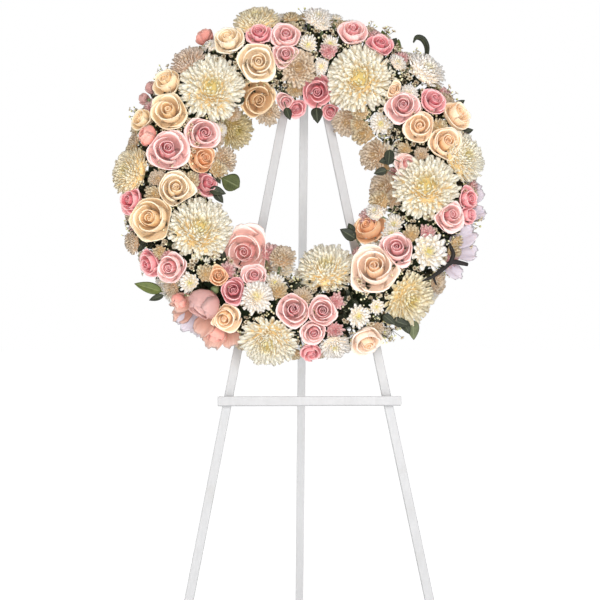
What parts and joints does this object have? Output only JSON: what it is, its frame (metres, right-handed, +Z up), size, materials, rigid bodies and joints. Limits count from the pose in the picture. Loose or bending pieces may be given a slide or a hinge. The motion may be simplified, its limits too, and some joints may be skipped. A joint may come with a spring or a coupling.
{
  "type": "funeral wreath on easel",
  "caption": "Round funeral wreath of cream, white and pink roses and chrysanthemums, hung on a folding white wooden tripod easel.",
  "frame": {"origin": "on the floor, under the middle of the bounding box", "axes": "+Z up; the wreath faces -Y; +X is to the right of someone facing the flowers; the front legs lean back towards +Y"},
  "size_m": [0.6204, 0.6476, 1.2564],
  "materials": {
    "white_painted_wood": "satin white paint",
    "zinc_steel": "zinc plated",
    "florist_wire": "green enamel",
    "green_tray": "moulded",
    "floral_foam": "soaked open foam",
    "ivory_petals": "fresh petals",
    "white_petals": "fresh petals",
    "cream_petals": "fresh petals",
    "peach_petals": "fresh petals",
    "pink_petals": "fresh petals",
    "mauve_petals": "fresh petals"
  },
  "bodies": {
    "easel_and_wreath": {"crossbar": "white_painted_wood", "crossbar_screw_left": "zinc_steel", "crossbar_screw_right": "zinc_steel", "foam_ring": "floral_foam", "front_leg_left": "white_painted_wood", "front_leg_right": "white_painted_wood", "hanging_hook": "zinc_steel", "hanging_loop": "florist_wire", "head_board": "white_painted_wood", "hinge_pin": "zinc_steel", "hinge_plate": "zinc_steel", "mum_bottom_inner": "ivory_petals", "mum_bottom_left": "ivory_petals", "mum_bottom_right": "ivory_petals", "mum_crest": "ivory_petals", "mum_edge_left": "ivory_petals", "mum_edge_right": "ivory_petals", "mum_edge_top_left": "ivory_petals", "mum_inner_left": "ivory_petals", "mum_left": "ivory_petals", "mum_right": "ivory_petals", "mum_top_left": "ivory_petals", "mum_top_right": "ivory_petals", "plate_screw_left": "zinc_steel", "plate_screw_right": "zinc_steel", "rose_cream_bottom": "cream_petals", "rose_cream_inner_top": "cream_petals", "rose_cream_left": "cream_petals", "rose_cream_lower_right": "cream_petals", "rose_cream_right": "cream_petals", "rose_cream_top": "cream_petals", "rose_cream_upper_left": "cream_petals", "rose_mauve_left": "mauve_petals", "rose_peach_bottom_left": "peach_petals", "rose_peach_inner_left": "peach_petals", "rose_peach_inner_right": "peach_petals", "rose_pink_bottom": "pink_petals", "rose_pink_edge_left": "pink_petals", "rose_pink_edge_right": "pink_petals", "rose_pink_inner_top": "pink_petals", "rose_pink_large": "pink_petals", "rose_pink_left": "pink_petals", "rose_pink_lower_left": "pink_petals", "rose_pink_lower_right": "pink_petals", "rose_pink_right": "pink_petals", "rose_pink_top": "pink_petals", "rose_pink_top_right": "pink_petals", "rose_pink_upper_left": "pink_petals", "small_mum_bottom": "white_petals", "small_mum_crest": "white_petals", "small_mum_edge_bottom": "white_petals", "small_mum_edge_top_right": "white_petals", "small_mum_inner_right": "white_petals", "small_mum_lower_right": "white_petals", "small_mum_top": "white_petals", "wreath_tray": "green_tray"},
    "back_leg_assembly": {"back_leg": "white_painted_wood", "hinge_strap": "zinc_steel", "strap_screw_1": "zinc_steel", "strap_screw_2": "zinc_steel"}
  },
  "joints": [
    {"name": "back_leg_hinge", "type": "hinge", "parent": "easel_and_wreath", "child": "back_leg_assembly", "pos_m": [0.00976, -0.02646, 1.16935], "axis": [-1, 0, 0], "range_deg": [0, 29]}
  ]
}
